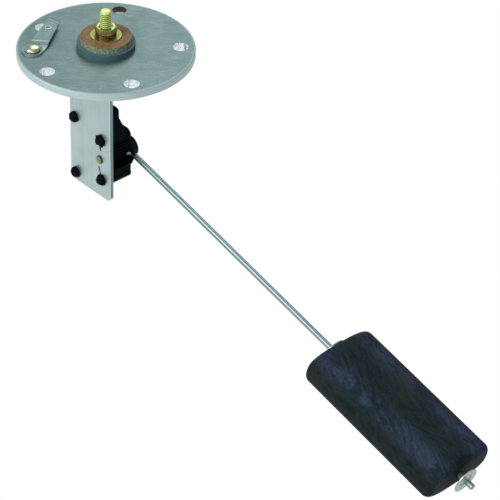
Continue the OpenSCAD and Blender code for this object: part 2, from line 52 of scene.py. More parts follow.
# Places that repeat values of the CAD source, in millimetres
PIVOT = Vector((5.5, 0.0, -39.9))
ARM_ANGLE = math.radians(14)
ARM_Y = 4.85
PLATE_FRONT = -8.0
FLOAT_HALF = 15.3
FLOAT_EDGE = 2.8
BORE = 1.6
BRACKET_HALF = 11.7
PUNCHED = ((5.9, -35.2, 0.62, 0.4), (5.2, -44.1, 0.62, 0.3), (5.8, -45.8, 0.52, -0.3))
SEAL_TOP = 5.35
INSULATOR_TOP = 7.7
NUT_BASE = 9.6
WASHER_RADIUS = 5.6
STUD_TOP = 18.0
STUD_RADIUS = 2.15
STUD_HEAD_TOP = -3.4
FLANGE_TOP = 3.0
RIVET = Vector((-14.0, -22.6, 0.0))
BLADE_TURN = math.radians(120.5)
FOLD_TURN = math.radians(13.3)
DETENT = RIVET + Matrix.Rotation(BLADE_TURN, 3, "Z") @ Vector((14.8, -0.3, 0.0))
STAKES = ((6.5, -30.9), (6.85, -48.3), (-9.0, -28.1), (-8.65, -52.6))
HORNS = ((0.05, -0.2, 1.0), (-0.75, -0.3, 0.62), (0.6, -0.2, -0.8))
HOLE_CIRCLE = 27.0
HOLE_RADIUS = 2.65
# The walls of these holes carry painted light, near white.
LIT_HOLES = (200, 270, 340, 50)
# The wall of this hole carries painted shade, dark brown, turning to painted light towards its lower edge.
SHADED_HOLES = (130,)
FLANGE_DARK = (0.100, 0.145, 0.142)
FLANGE_MID = (0.180, 0.246, 0.240)
FLANGE_PALE = (0.290, 0.375, 0.358)
# Pale tone for the painted highlights on the ground tab.
PAINTED_HIGHLIGHT = (0.62, 0.71, 0.70)


# Shader sums
class Wire:
    """A socket's value that takes part in Python sums."""

    def __init__(self, finish, socket):
        self.finish = finish
        self.socket = socket

    def _sum(self, operation, first, second):
        return self.finish.node("ShaderNodeMath", {"operation": operation}, {0: first, 1: second})

    def __add__(self, other):
        return self._sum("ADD", self, other)

    def __radd__(self, other):
        return self._sum("ADD", other, self)

    def __sub__(self, other):
        return self._sum("SUBTRACT", self, other)

    def __rsub__(self, other):
        return self._sum("SUBTRACT", other, self)

    def __mul__(self, other):
        return self._sum("MULTIPLY", self, other)

    def __rmul__(self, other):
        return self._sum("MULTIPLY", other, self)

    def __truediv__(self, other):
        return self._sum("DIVIDE", self, other)

    def __pow__(self, other):
        return self._sum("POWER", self, other)


class Finish:
    """One procedural material, built node by node."""

    def __init__(self, name, **uniform):
        self.material = bpy.data.materials.new(name)
        self.material.use_nodes = True
        self.tree = self.material.node_tree
        self.tree.nodes.clear()
        self.shader = self.tree.nodes.new("ShaderNodeBsdfPrincipled")
        output = self.tree.nodes.new("ShaderNodeOutputMaterial")
        self.tree.links.new(self.shader.outputs[0], output.inputs["Surface"])
        for key, value in uniform.items():
            self.shader.inputs[key.replace("_", " ")].default_value = value

    def node(self, kind, settings=None, inputs=None, output=0):
        """Adds a node, sets its settings, then its inputs, and gives the chosen output."""
        made = self.tree.nodes.new(kind)
        for key, value in (settings or {}).items():
            if key == "stops":
                ramp = made.color_ramp
                while len(ramp.elements) > len(value):
                    ramp.elements.remove(ramp.elements[-1])
                while len(ramp.elements) < len(value):
                    ramp.elements.new(1.0)
                for element, (place, shade) in zip(ramp.elements, value):
                    element.position = place
                    element.color = shade if len(shade) == 4 else (*shade, 1.0)
            else:
                setattr(made, key, value)
        for key, value in (inputs or {}).items():
            if isinstance(value, Wire):
                self.tree.links.new(value.socket, made.inputs[key])
            else:
                made.inputs[key].default_value = value
        return Wire(self, made.outputs[output])

    def feed(self, **links):
        """Links wires to the shader's sockets."""
        for key, value in links.items():
            self.tree.links.new(value.socket, self.shader.inputs[key.replace("_", " ")])

    def place(self, scale=(1, 1, 1), turn=(0, 0, 0), move=(0, 0, 0)):
        """Object coordinates in millimetres, moved, turned and then stretched."""
        at = self.node("ShaderNodeTexCoord", output="Object")
        at = self.node("ShaderNodeVectorMath", {"operation": "SCALE"}, {0: at, "Scale": 1000.0})
        at = self.node("ShaderNodeVectorMath", {"operation": "SUBTRACT"}, {0: at, 1: move})
        if any(turn):
            at = self.node("ShaderNodeMapping", None, {"Vector": at, "Rotation": turn})
        return self.node("ShaderNodeVectorMath", {"operation": "MULTIPLY"}, {0: at, 1: scale})

    def noise(self, at, scale, detail=4.0, rough=0.55, warp=0.0, lacunarity=2.0):
        return self.node("ShaderNodeTexNoise", None, {
            "Vector": at, "Scale": scale, "Detail": detail, "Roughness": rough,
            "Distortion": warp, "Lacunarity": lacunarity,
        })

    def cells(self, at, scale, feature="F1"):
        return self.node("ShaderNodeTexVoronoi", {"feature": feature}, {"Vector": at, "Scale": scale})

    def ramp(self, value, low, high, start=0.0, end=1.0):
        """Maps low..high to start..end and clamps."""
        return self.node("ShaderNodeMapRange", {"clamp": True}, {
            "Value": value, "From Min": low, "From Max": high, "To Min": start, "To Max": end,
        })

    def shades(self, value, stops):
        return self.node("ShaderNodeValToRGB", {"stops": stops}, {"Fac": value})

    def mix(self, amount, first, second):
        """Mixes two colours."""
        def rgba(c):
            return c if isinstance(c, Wire) or len(c) == 4 else (*c, 1.0)
        return self.node("ShaderNodeMix", {"data_type": "RGBA"}, {0: amount, 6: rgba(first), 7: rgba(second)}, 2)

    def axis(self, at, letter):
        return self.node("ShaderNodeSeparateXYZ", None, {0: at}, "XYZ".index(letter))

    def length(self, at):
        return self.node("ShaderNodeVectorMath", {"operation": "LENGTH"}, {0: at}, "Value")

    def bump(self, height, depth_mm, strength=1.0):
        relief = self.node("ShaderNodeBump", None, {"Height": height, "Distance": depth_mm * MM, "Strength": strength})
        self.feed(Normal=relief)
        return self.material


# Finishes
def plated_metal(name, base, dark, grain_axis=(1, 1, 1), grain=0.5, metal=1.0, rough=0.34, cloud=0.12, marks=0.5):
    """Plated or rolled metal with clouding, directional grain, fine pits and scratches."""
    f = Finish(name)
    at = f.place()
    clouds = f.noise(at, cloud, 5, 0.6, 0.4)
    fine = f.noise(at, 2.3, 4, 0.65)
    lines = f.noise(f.place(scale=grain_axis), 1.0, 5, 0.7)
    scratch_at = f.place(scale=(0.06, 1.6, 0.5), turn=(0.0, 0.0, 0.6))
    scratches = f.ramp(f.noise(scratch_at, 1.0, 3, 0.6, 1.2), 0.66, 0.72)
    tone = f.ramp(clouds * 0.6 + fine * 0.25 + lines * grain * 0.3, 0.25, 0.75)
    colour = f.mix(tone, dark, base)
    colour = f.mix(scratches * 0.25 * marks, colour, tuple(min(1.0, c * 1.3) for c in base))
    f.feed(Base_Color=colour)
    f.feed(Roughness=rough + (clouds - 0.5) * 0.25 + (lines - 0.5) * 0.3 * grain)
    f.shader.inputs["Metallic"].default_value = metal
    return f.bump(fine * 0.3 + lines * grain + scratches * -0.5 * marks, 0.02, 0.5)


def hole_walls(f, angles):
    """One on the walls of the mounting holes at these angles, zero elsewhere."""
    total = 0.0
    for angle in angles:
        turn = math.radians(angle)
        centre = (HOLE_CIRCLE * math.cos(turn), HOLE_CIRCLE * math.sin(turn), 0.0)
        radius = f.length(f.place(scale=(1, 1, 0), move=centre))
        total = f.ramp(radius, HOLE_RADIUS + 0.12, HOLE_RADIUS + 0.05) + total
    return total


def flange_metal():
    """Dull plated sheet: teal grey with faint rolled grain and brushed arcs; a pale rim that is partly painted
    highlight, partly edge wear; punched holes whose walls carry painted light, near white, and on one hole painted
    shade.
    """
    f = Finish("flange_plating")
    at = f.place()
    clouds = f.noise(at, 0.05, 4, 0.55, 0.5)
    patches = f.noise(f.place(move=(9, 4, 0)), 0.18, 3, 0.5)
    fine = f.noise(at, 2.6, 4, 0.7)
    lines = f.noise(f.place(scale=(0.10, 2.2, 1.0), turn=(0, 0, math.radians(-38))), 1.0, 5, 0.72)
    arcs = f.noise(f.place(scale=(2.0, 0.12, 1.0), turn=(0, 0, math.radians(20))), 1.0, 4, 0.7)
    scratch_at = f.place(scale=(0.05, 2.2, 0.5), turn=(0.0, 0.0, 0.9))
    scratches = f.ramp(f.noise(scratch_at, 1.0, 3, 0.6, 1.0), 0.68, 0.73)
    radius = f.length(f.place(scale=(1, 1, 0)))
    # Pale rim round the top edge: partly painted highlight, partly edge wear.
    rim = f.ramp(radius, 31.6, 32.45)
    tone = f.ramp(clouds * 0.25 + patches * 0.15 + fine * 0.35 + lines * 0.4 + arcs * 0.2, 0.595, 0.755)
    tone = f.ramp(tone, -0.35, 1.35)
    colour = f.shades(tone, [(0.0, FLANGE_DARK), (0.5, FLANGE_MID), (1.0, FLANGE_PALE)])
    colour = f.mix(scratches * 0.30, colour, (0.46, 0.60, 0.59))
    colour = f.mix(rim * 0.75, colour, (0.67, 0.755, 0.755))
    # Painted light, near white, on the walls of most holes; painted shade on the wall of one.
    lit_hole_walls = hole_walls(f, LIT_HOLES)
    shaded_hole_walls = hole_walls(f, SHADED_HOLES)
    # Painted shade, dark brown, high in that one hole wall, turning to painted light, pale, towards its lower end.
    low = f.ramp(f.axis(at, "Z"), 0.9, 0.25)
    colour = f.mix(lit_hole_walls, colour, f.mix(f.ramp(f.noise(at, 1.1, 4, 0.7), 0.46, 0.60) * 0.7, (0.86, 0.91, 0.93), (0.50, 0.54, 0.56)))
    colour = f.mix(shaded_hole_walls, colour, f.mix(low, (0.085, 0.068, 0.058), (0.90, 0.86, 0.83)))
    f.feed(Base_Color=colour)
    f.feed(Roughness=0.50 + (clouds - 0.5) * 0.2 + (lines - 0.5) * 0.25 + rim * 0.22 - lit_hole_walls * 0.2)
    f.shader.inputs["Metallic"].default_value = 0.85
    return f.bump(fine * 0.35 + lines * 0.5 + arcs * 0.25 - scratches * 0.6, 0.012, 0.5)


def tab_plating():
    """Tin plated blade: the flange's grey, with painted highlights at both folds, along the tip and round the foot,
    and a near-white painted light in the detent hole.
    """
    f = Finish("tab_plating")
    at = f.place()
    grain = f.noise(f.place(turn=(0, 0, -BLADE_TURN), scale=(0.2, 2.2, 1.0)), 1.0, 4, 0.7)
    fine = f.noise(at, 2.2, 3, 0.6)
    tone = f.ramp(grain * 0.6 + fine * 0.4, 0.34, 0.66)
    colour = f.mix(tone, FLANGE_DARK, FLANGE_PALE)
    along = f.axis(f.place(move=tuple(RIVET), turn=(0, 0, -BLADE_TURN - FOLD_TURN)), "X")
    level = f.axis(at, "Z")
    # Painted highlights along both folds of the blade, on its top only.
    folds = f.ramp(along, 2.5, 2.75) * f.ramp(along, 3.3, 3.0) + f.ramp(along, 4.2, 4.5) * f.ramp(along, 5.0, 4.75)
    colour = f.mix(f.ramp(folds, 0.0, 1.0) * f.ramp(level, 3.7, 3.85) * 0.5, colour, PAINTED_HIGHLIGHT)
    hole = f.length(f.place(scale=(1, 1, 0), move=tuple(DETENT)))
    blade = f.place(move=tuple(RIVET), turn=(0, 0, -BLADE_TURN))
    tip = f.axis(blade, "X") - f.axis(blade, "Y") * 0.469
    # Painted highlight along the blade's tip.
    colour = f.mix(f.ramp(tip, 19.75, 19.95) * f.ramp(tip, 20.6, 20.4, 0.5, 1.0) * 0.5, colour, PAINTED_HIGHLIGHT)
    # Painted highlight round the foot's edge.
    foot = f.ramp(f.length(f.place(scale=(1, 1, 0), move=tuple(RIVET))), 3.70, 3.77) * f.ramp(along, 2.4, 2.0)
    colour = f.mix(foot * 0.5, colour, PAINTED_HIGHLIGHT)
    # Painted light, near white, in the detent hole.
    colour = f.mix(f.ramp(hole, 1.2, 1.08) * 0.9, colour, (0.90, 0.94, 0.93))
    f.feed(Base_Color=colour)
    f.feed(Roughness=0.40 + (fine - 0.5) * 0.2)
    f.shader.inputs["Metallic"].default_value = 0.75
    return f.bump(grain * 0.6 + fine * 0.4, 0.006, 0.5)


def yellow_plating(name, base, deep, tint, shine=0.24, metal=0.9, patch=0.4, roots=False, rim=None):
    """Yellow zinc plating that shifts toward another tint in patches, with painted shade in the thread roots and a
    painted golden highlight round a washer's rim.
    """
    f = Finish(name)
    at = f.place()
    patches = f.noise(at, patch, 4, 0.6, 0.8)
    fine = f.noise(at, 3.0, 3, 0.6)
    layers = f.noise(f.place(scale=(0.3, 0.3, 1.4)), 1.3, 3, 0.6)
    colour = f.mix(f.ramp(patches, 0.38, 0.66), deep, base)
    colour = f.mix(f.ramp(layers, 0.5, 0.72) * 0.55, colour, tint)
    if rim:
        # Painted golden highlight round the rim.
        edge = f.ramp(f.length(f.place(scale=(1, 1, 0))), rim - 0.25, rim - 0.08)
        colour = f.mix(edge * 0.5, colour, (0.84, 0.68, 0.22))
    if roots:
        # Painted shade in the thread roots.
        out = f.length(f.place(scale=(1, 1, 0)))
        thread = f.ramp(out, 2.04, 1.80) * f.ramp(f.axis(at, "Z"), STUD_TOP - 0.5, STUD_TOP - 0.8)
        colour = f.mix(thread * 0.85, colour, (0.15, 0.165, 0.040))
    f.feed(Base_Color=colour)
    f.feed(Roughness=shine + (fine - 0.5) * 0.12 + (patches - 0.5) * 0.15)
    f.shader.inputs["Metallic"].default_value = metal
    return f.bump(fine + patches * 0.6, 0.004, 0.5)


def pin_brass():
    """Tarnished brass with painted shade, near black, round the rim of the closed end of the pin."""
    f = Finish("pin_brass")
    at = f.place()
    blots = f.noise(at, 0.9, 4, 0.6, 0.5)
    fine = f.noise(at, 4.0, 3, 0.6)
    out = f.length(f.place(scale=(1, 0, 1), move=tuple(PIVOT)))
    colour = f.mix(f.ramp(blots, 0.35, 0.65), (0.17, 0.17, 0.08), (0.34, 0.34, 0.17))
    # Painted shade, near black, round the rim of the pin's closed end.
    colour = f.mix(f.ramp(out + (blots - 0.5) * 0.5, 1.25, 1.45) * 0.9, colour, (0.030, 0.032, 0.028))
    f.feed(Base_Color=colour)
    f.feed(Roughness=0.42 + (fine - 0.5) * 0.2)
    f.shader.inputs["Metallic"].default_value = 0.7
    return f.bump(fine * 0.5 + blots * 0.5, 0.02, 0.5)


def laminate(name, top_z):
    """Brown laminated board: polished mottled face, rough cut edge of pale and dark layers."""
    f = Finish(name)
    at = f.place()
    swirl = f.noise(at, 0.45, 5, 0.65, 1.2)
    fibre = f.noise(f.place(scale=(1, 1, 2.4)), 1.5, 5, 0.8)
    specks = f.noise(f.place(scale=(1, 1, 1.6), move=(3, 1, 2)), 1.1, 3, 0.6)
    face = f.shades(f.ramp(swirl * 0.7 + fibre * 0.3, 0.3, 0.72),
                    [(0.0, (0.135, 0.052, 0.012)), (0.45, (0.215, 0.092, 0.022)), (1.0, (0.290, 0.135, 0.036))])
    edge = f.shades(f.ramp(fibre, 0.38, 0.64),
                    [(0.0, (0.060, 0.075, 0.035)), (0.35, (0.165, 0.190, 0.115)), (0.7, (0.31, 0.35, 0.25)), (1.0, (0.55, 0.60, 0.50))])
    edge = f.mix(f.ramp(specks, 0.56, 0.64) * 0.75, edge, (0.075, 0.055, 0.022))
    height = f.axis(at, "Z")
    side = f.ramp(height, top_z + 0.02, top_z - 0.08)
    f.feed(Base_Color=f.mix(side, face, edge))
    f.feed(Roughness=0.30 + side * 0.45 + (fibre - 0.5) * 0.2)
    f.shader.inputs["Specular IOR Level"].default_value = 0.08
    return f.bump(fibre * side + swirl * 0.1, 0.14, 0.5)


def seal_rubber():
    """Blue-grey rubber with dusty patches and a paler upper edge, a painted highlight."""
    f = Finish("seal_rubber")
    at = f.place()
    dust = f.noise(at, 0.5, 5, 0.6, 0.5)
    fine = f.noise(at, 5.0, 3, 0.6)
    height = f.axis(at, "Z")
    # Paler upper edge: a painted highlight.
    lit_top_edge = f.ramp(height, SEAL_TOP - 0.45, SEAL_TOP - 0.02) * f.ramp(dust, 0.2, 0.7, 0.6, 1.0)
    colour = f.mix(f.ramp(dust, 0.3, 0.7), (0.048, 0.090, 0.098), (0.068, 0.120, 0.128))
    colour = f.mix(lit_top_edge * 0.6, colour, (0.110, 0.170, 0.180))
    f.feed(Base_Color=colour)
    f.feed(Roughness=0.58 + (dust - 0.5) * 0.3 + (fine - 0.5) * 0.15)
    f.shader.inputs["Specular IOR Level"].default_value = 0.25
    return f.bump(fine + dust * 0.5, 0.03, 0.5)


def brushed_sheet():
    """Rolled sheet with fine vertical grain, faint streaks and scuffs, a painted highlight just inside both long edges
    and painted shade on the cut edges.
    """
    f = Finish("bracket_sheet")
    at = f.place()
    grain = f.noise(f.place(scale=(3.6, 1.0, 0.05)), 1.0, 5, 0.75)
    streak = f.noise(f.place(scale=(0.55, 1.0, 0.02)), 1.0, 4, 0.6)
    clouds = f.noise(at, 0.09, 4, 0.55, 0.5)
    fine = f.noise(at, 4.0, 3, 0.6)
    scuffs = f.ramp(f.noise(f.place(scale=(0.25, 1.0, 1.8), turn=(0, 0.5, 0)), 0.8, 3, 0.6, 0.8), 0.68, 0.75)
    tone = f.ramp(grain * 0.3 + streak * 0.35 + clouds * 0.45, 0.38, 0.75)
    colour = f.shades(tone, [(0.0, (0.360, 0.450, 0.455)), (0.5, (0.445, 0.535, 0.538)), (1.0, (0.520, 0.605, 0.605))])
    colour = f.mix(scuffs * 0.35, colour, (0.60, 0.70, 0.70))
    across = f.node("ShaderNodeMath", {"operation": "ABSOLUTE"}, {0: f.axis(at, "X")})
    # Painted shade on the cut edges and a painted highlight just inside them, alike on both sides.
    cut = f.ramp(across, BRACKET_HALF - 0.06, BRACKET_HALF - 0.02)
    edge_highlight = f.ramp(across, BRACKET_HALF - 0.9, BRACKET_HALF - 0.35) * (1.0 - cut)
    colour = f.mix(edge_highlight * 0.35, colour, (0.66, 0.74, 0.74))
    colour = f.mix(cut * 0.85, colour, (0.145, 0.225, 0.240))
    for x, z, reach, slant in PUNCHED:
        blot = f.place(scale=(1.0, 0.0, 0.55), turn=(0, slant, 0), move=(x, 0, z))
        ragged = f.length(blot) + (f.noise(at, 2.2, 3, 0.6) - 0.5) * 0.9
        colour = f.mix(f.ramp(ragged, reach, reach - 0.16) * 0.8, colour, (0.035, 0.045, 0.048))
    f.feed(Base_Color=colour)
    f.feed(Roughness=0.42 + (grain - 0.5) * 0.2 + (clouds - 0.5) * 0.2)
    f.shader.inputs["Metallic"].default_value = 0.9
    return f.bump(grain * 0.8 + fine * 0.2 - scuffs * 0.4, 0.012, 0.5)


def black_moulding(name, tone=0.0042, shine=0.36):
    """Black moulded plastic with a faint grain, flow lines and rubbed places."""
    f = Finish(name)
    at = f.place()
    grain = f.noise(at, 6.0, 4, 0.65)
    flow = f.noise(f.place(scale=(0.5, 1.0, 0.25)), 0.8, 4, 0.6, 1.0)
    rub = f.ramp(f.noise(at, 0.6, 4, 0.6, 0.6), 0.52, 0.72)
    colour = f.mix(rub * 0.5, (tone * 0.6, tone, tone * 1.3), (tone * 1.6, tone * 2.4, tone * 3.2))
    f.feed(Base_Color=colour)
    f.feed(Roughness=shine + (flow - 0.5) * 0.2 + rub * 0.1 + (grain - 0.5) * 0.1)
    f.shader.inputs["Specular IOR Level"].default_value = 0.014
    return f.bump(grain * 0.4 + flow * 0.6, 0.02, 0.5)


def float_skin():
    """Black foam skin: a painted lavender sheen, a highlight, along its shoulders; olive and brown feathered streaks.
    """
    f = Finish("float_skin")

    def grained(turn, scale):
        return f.place(move=tuple(PIVOT), turn=(0.0, -ARM_ANGLE, math.radians(turn)), scale=scale)

    at = grained(0, (1, 1, 1))
    across = f.node("ShaderNodeMath", {"operation": "ABSOLUTE"}, {0: f.axis(at, "Y") - ARM_Y})
    height = f.node("ShaderNodeMath", {"operation": "ABSOLUTE"}, {0: f.axis(at, "Z")})
    bend = f.noise(at, 0.05, 3, 0.5, 0.8)
    sweep = f.noise(grained(28, (0.35, 1.5, 1.0)), 0.17, 7, 0.7, 2.4)
    fans = f.noise(grained(-20, (0.40, 1.3, 1.0)), 0.15, 7, 0.7, 2.6)
    hair = f.noise(grained(10, (0.34, 1.8, 1.3)), 0.8, 5, 0.75, 2.4)
    warm = f.noise(grained(20, (0.50, 1.0, 1.0)), 0.085, 4, 0.6, 1.8)
    # The shoulder mask carries a painted sheen, a lavender highlight.
    shoulder = f.ramp(across, 14.6, 11.2) * f.ramp(across, 2.6, 8.5) * f.ramp(height, 1.6, 5.4)
    top = f.ramp(across, 12.5, 4.0) * f.ramp(height, 4.0, 6.5)
    weave = f.mix(f.ramp(bend, 0.42, 0.58), streaks(f, sweep), streaks(f, fans))
    colour = f.mix(top * f.ramp(hair, 0.46, 0.68) * 0.5, weave, (0.015, 0.024, 0.035))
    sheen = f.mix(f.ramp(hair * 0.5 + sweep * 0.5, 0.40, 0.60), (0.012, 0.019, 0.028), (0.052, 0.064, 0.115))
    gap = f.ramp(bend * 0.35 + warm * 0.4 + fans * 0.25, 0.43, 0.51)
    colour = f.mix(shoulder * f.ramp(gap, 0.0, 1.0, 0.25, 1.0), colour, sheen)
    brown = f.ramp(warm, 0.48, 0.60) * f.ramp(hair, 0.34, 0.60) * (0.6 + top * 0.4)
    colour = f.mix(brown * 0.85, colour, (0.024, 0.024, 0.0095))
    strands = f.noise(grained(6, (0.22, 1.7, 1.2)), 0.9, 4, 0.7, 2.2)
    colour = f.mix(f.ramp(strands, 0.55, 0.66) * top * 0.55, colour, (0.036, 0.054, 0.080))
    f.feed(Base_Color=colour)
    f.feed(Roughness=0.60 + (sweep - 0.5) * 0.25 + (hair - 0.5) * 0.2)
    f.shader.inputs["Specular IOR Level"].default_value = 0.05
    return f.bump(sweep * 0.5 + fans * 0.4 + hair * 0.5, 0.25, 0.5)


def streaks(f, value):
    """Shades of one set of feathered streaks."""
    return f.shades(f.ramp(value, 0.30, 0.70), [
        (0.0, (0.0030, 0.0070, 0.0080)), (0.35, (0.0065, 0.0125, 0.0135)),
        (0.6, (0.0115, 0.0185, 0.0220)), (0.85, (0.0180, 0.0235, 0.0150)), (1.0, (0.0230, 0.0330, 0.0330)),
    ])


def drawn_wire():
    """Drawn steel rod with clean lengthwise lines and faint darker patches."""
    f = Finish("rod_steel")
    turn = (0.0, -ARM_ANGLE, 0.0)
    at = f.place(move=(PIVOT.x, ARM_Y, PIVOT.z), turn=turn)
    lines = f.noise(f.place(scale=(0.01, 1.4, 1.4), turn=turn), 1.0, 2, 0.5)
    patches = f.noise(at, 0.10, 3, 0.5)
    colour = f.mix(f.ramp(lines * 0.7 + patches * 0.3, 0.36, 0.64), (0.22, 0.28, 0.29), (0.31, 0.37, 0.38))
    f.feed(Base_Color=colour)
    f.feed(Roughness=0.46 + (patches - 0.5) * 0.1 + (lines - 0.5) * 0.05)
    f.shader.inputs["Metallic"].default_value = 1.0
    return f.bump(patches, 0.002, 0.2)


def wound_wire():
    """Resistance wire: fine turns round the card, told apart by tone and relief."""
    f = Finish("winding_turns")
    centred = f.place(move=tuple(PIVOT))
    angle = f.node("ShaderNodeMath", {"operation": "ARCTAN2"}, {0: f.axis(centred, "Z"), 1: f.axis(centred, "X")})
    turns = f.node("ShaderNodeMath", {"operation": "SINE"}, {0: angle * 420.0})
    fine = f.noise(f.place(), 3.0, 4, 0.6)
    colour = f.mix(f.ramp(turns, -1.0, 1.0), (0.14, 0.13, 0.12), (0.56, 0.53, 0.48))
    f.feed(Base_Color=f.mix(f.ramp(fine, 0.4, 0.7) * 0.4, colour, (0.30, 0.26, 0.2)))
    f.feed(Roughness=0.36 + (fine - 0.5) * 0.3)
    f.shader.inputs["Metallic"].default_value = 1.0
    return f.bump(turns + fine * 0.3, 0.03, 0.6)


def pale_sheet(name, light, dark):
    """Thin pressed sheet or board with fibres and faint stains."""
    f = Finish(name)
    at = f.place()
    fibre = f.noise(f.place(scale=(2.0, 2.0, 0.5)), 1.4, 5, 0.7, 0.6)
    stain = f.noise(at, 0.2, 4, 0.6, 0.8)
    f.feed(Base_Color=f.mix(f.ramp(fibre * 0.5 + stain * 0.5, 0.32, 0.68), dark, light))
    f.feed(Roughness=0.62 + (fibre - 0.5) * 0.3)
    return f.bump(fibre, 0.03, 0.5)


# Mesh helpers
def dress(material, *names):
    """Gives carried-over CAD nodes their finish."""
    for name in names:
        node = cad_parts[name]
        if not node.material_slots:
            node.data.materials.append(material)
        for slot in node.material_slots:
            slot.material = material


def new_piece(name, bm, material, body, stands_for=(), crease=35):
    """Makes an object from a bmesh in millimetres, with its place in its mesh."""
    bmesh.ops.scale(bm, vec=(MM, MM, MM), verts=bm.verts)
    mesh = bpy.data.meshes.new(name)
    bm.to_mesh(mesh)
    bm.free()
    mesh.materials.append(material)
    mesh.polygons.foreach_set("use_smooth", [True] * len(mesh.polygons))
    mesh.set_sharp_from_angle(angle=math.radians(crease))
    piece = bpy.data.objects.new(name, mesh)
    bpy.context.scene.collection.objects.link(piece)
    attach(piece, body)
    if stands_for:
        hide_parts(*stands_for)
    return piece


def turned(bm, profile, steps=64):
    """Spins a profile of radius and height round Z and gives its new vertices."""
    before = set(bm.verts)
    verts = [bm.verts.new((r, 0.0, z)) for r, z in profile]
    edges = [bm.edges.new(pair) for pair in zip(verts, verts[1:])]
    bmesh.ops.spin(bm, geom=verts + edges, cent=(0, 0, 0), axis=(0, 0, 1), dvec=(0, 0, 0),
                   angle=math.tau, steps=steps, use_merge=True, use_duplicate=False)
    made = [v for v in bm.verts if v not in before]
    bmesh.ops.remove_doubles(bm, verts=made, dist=1e-5)
    return [v for v in bm.verts if v not in before]


def helix_thread(bm, root, crest, z0, z1, pitch, steps=40):
    """Adds one helical thread as a swept ridge from height z0 up to z1."""
    before = set(bm.verts)
    shape = ((root, 0.0), (root + 0.02, 0.08), (crest, 0.44), (crest, 0.56), (root + 0.02, 0.92), (root, 1.0))
    verts = [bm.verts.new((r, 0.0, z0 + part * pitch)) for r, part in shape]
    edges = [bm.edges.new(pair) for pair in zip(verts, verts[1:])]
    turns = int((z1 - z0) / pitch) - 1
    count = turns * steps
    bmesh.ops.spin(bm, geom=verts + edges, cent=(0, 0, 0), axis=(0, 0, 1), dvec=(0, 0, pitch / steps),
                   angle=math.tau * turns, steps=count, use_merge=False, use_duplicate=False)
    made = [v for v in bm.verts if v not in before]
    bmesh.ops.remove_doubles(bm, verts=made, dist=1e-4)
    return [v for v in bm.verts if v not in before]


# Settings
class SenderSizes(bpy.types.PropertyGroup):
    thread_pitch: FloatProperty(name="Thread pitch", description="Pitch of the terminal stud thread", default=0.00079, unit="LENGTH")
    stake_radius: FloatProperty(name="Stake head radius", description="Radius of the four mushroomed stake heads", default=0.0022, unit="LENGTH")
    lens: FloatProperty(name="Lens", description="Focal length of the camera in millimetres", default=146.9, unit="CAMERA")
    floor_depth: FloatProperty(name="Floor depth", description="Depth of the studio floor below the flange", default=0.215, unit="LENGTH")


class SenderColours(bpy.types.PropertyGroup):
    yellow: FloatVectorProperty(name="Yellow plating", description="Colour of the nut and the flat washer", subtype="COLOR", size=3, min=0, max=1, default=(0.60, 0.64, 0.22))
    copper: FloatVectorProperty(name="Copper tint", description="Colour of the lock washer", subtype="COLOR", size=3, min=0, max=1, default=(0.26, 0.13, 0.085))
    tin: FloatVectorProperty(name="Tin plating", description="Colour of the ground tab", subtype="COLOR", size=3, min=0, max=1, default=(0.22, 0.34, 0.335))
    brass: FloatVectorProperty(name="Brass", description="Colour of the bare brass pieces", subtype="COLOR", size=3, min=0, max=1, default=(0.66, 0.50, 0.22))


def sizes():
    return bpy.context.scene.sender_sizes


def colours():
    return bpy.context.scene.sender_colours


# Operators
class SENDER_OT_flange(bpy.types.Operator):
    """Finish the flange, the ground tab and its rivet"""
    bl_idname = "sender.flange"
    bl_label = "Flange and ground tab"

    def execute(self, context):
        dress(flange_metal(), "mounting_flange")
        dress(tab_plating(), "ground_tab")
        bm = bmesh.new()
        turned(bm, [
            (0.0, 0.05), (1.5, 0.05), (1.5, 3.82), (2.75, 3.82), (2.92, 3.95), (2.95, 4.25), (2.80, 4.62),
            (2.40, 4.98), (1.75, 5.24), (0.90, 5.38), (0.0, 5.40),
        ], 48)
        bmesh.ops.translate(bm, vec=RIVET, verts=bm.verts)
        bmesh.ops.recalc_face_normals(bm, faces=bm.faces)
        plating = yellow_plating("rivet_plating", (0.70, 0.74, 0.52), (0.42, 0.45, 0.24), (0.80, 0.85, 0.70), 0.30)
        new_piece("rivet_head", bm, plating, "sender", ("ground_rivet",), crease=50)
        return {"FINISHED"}


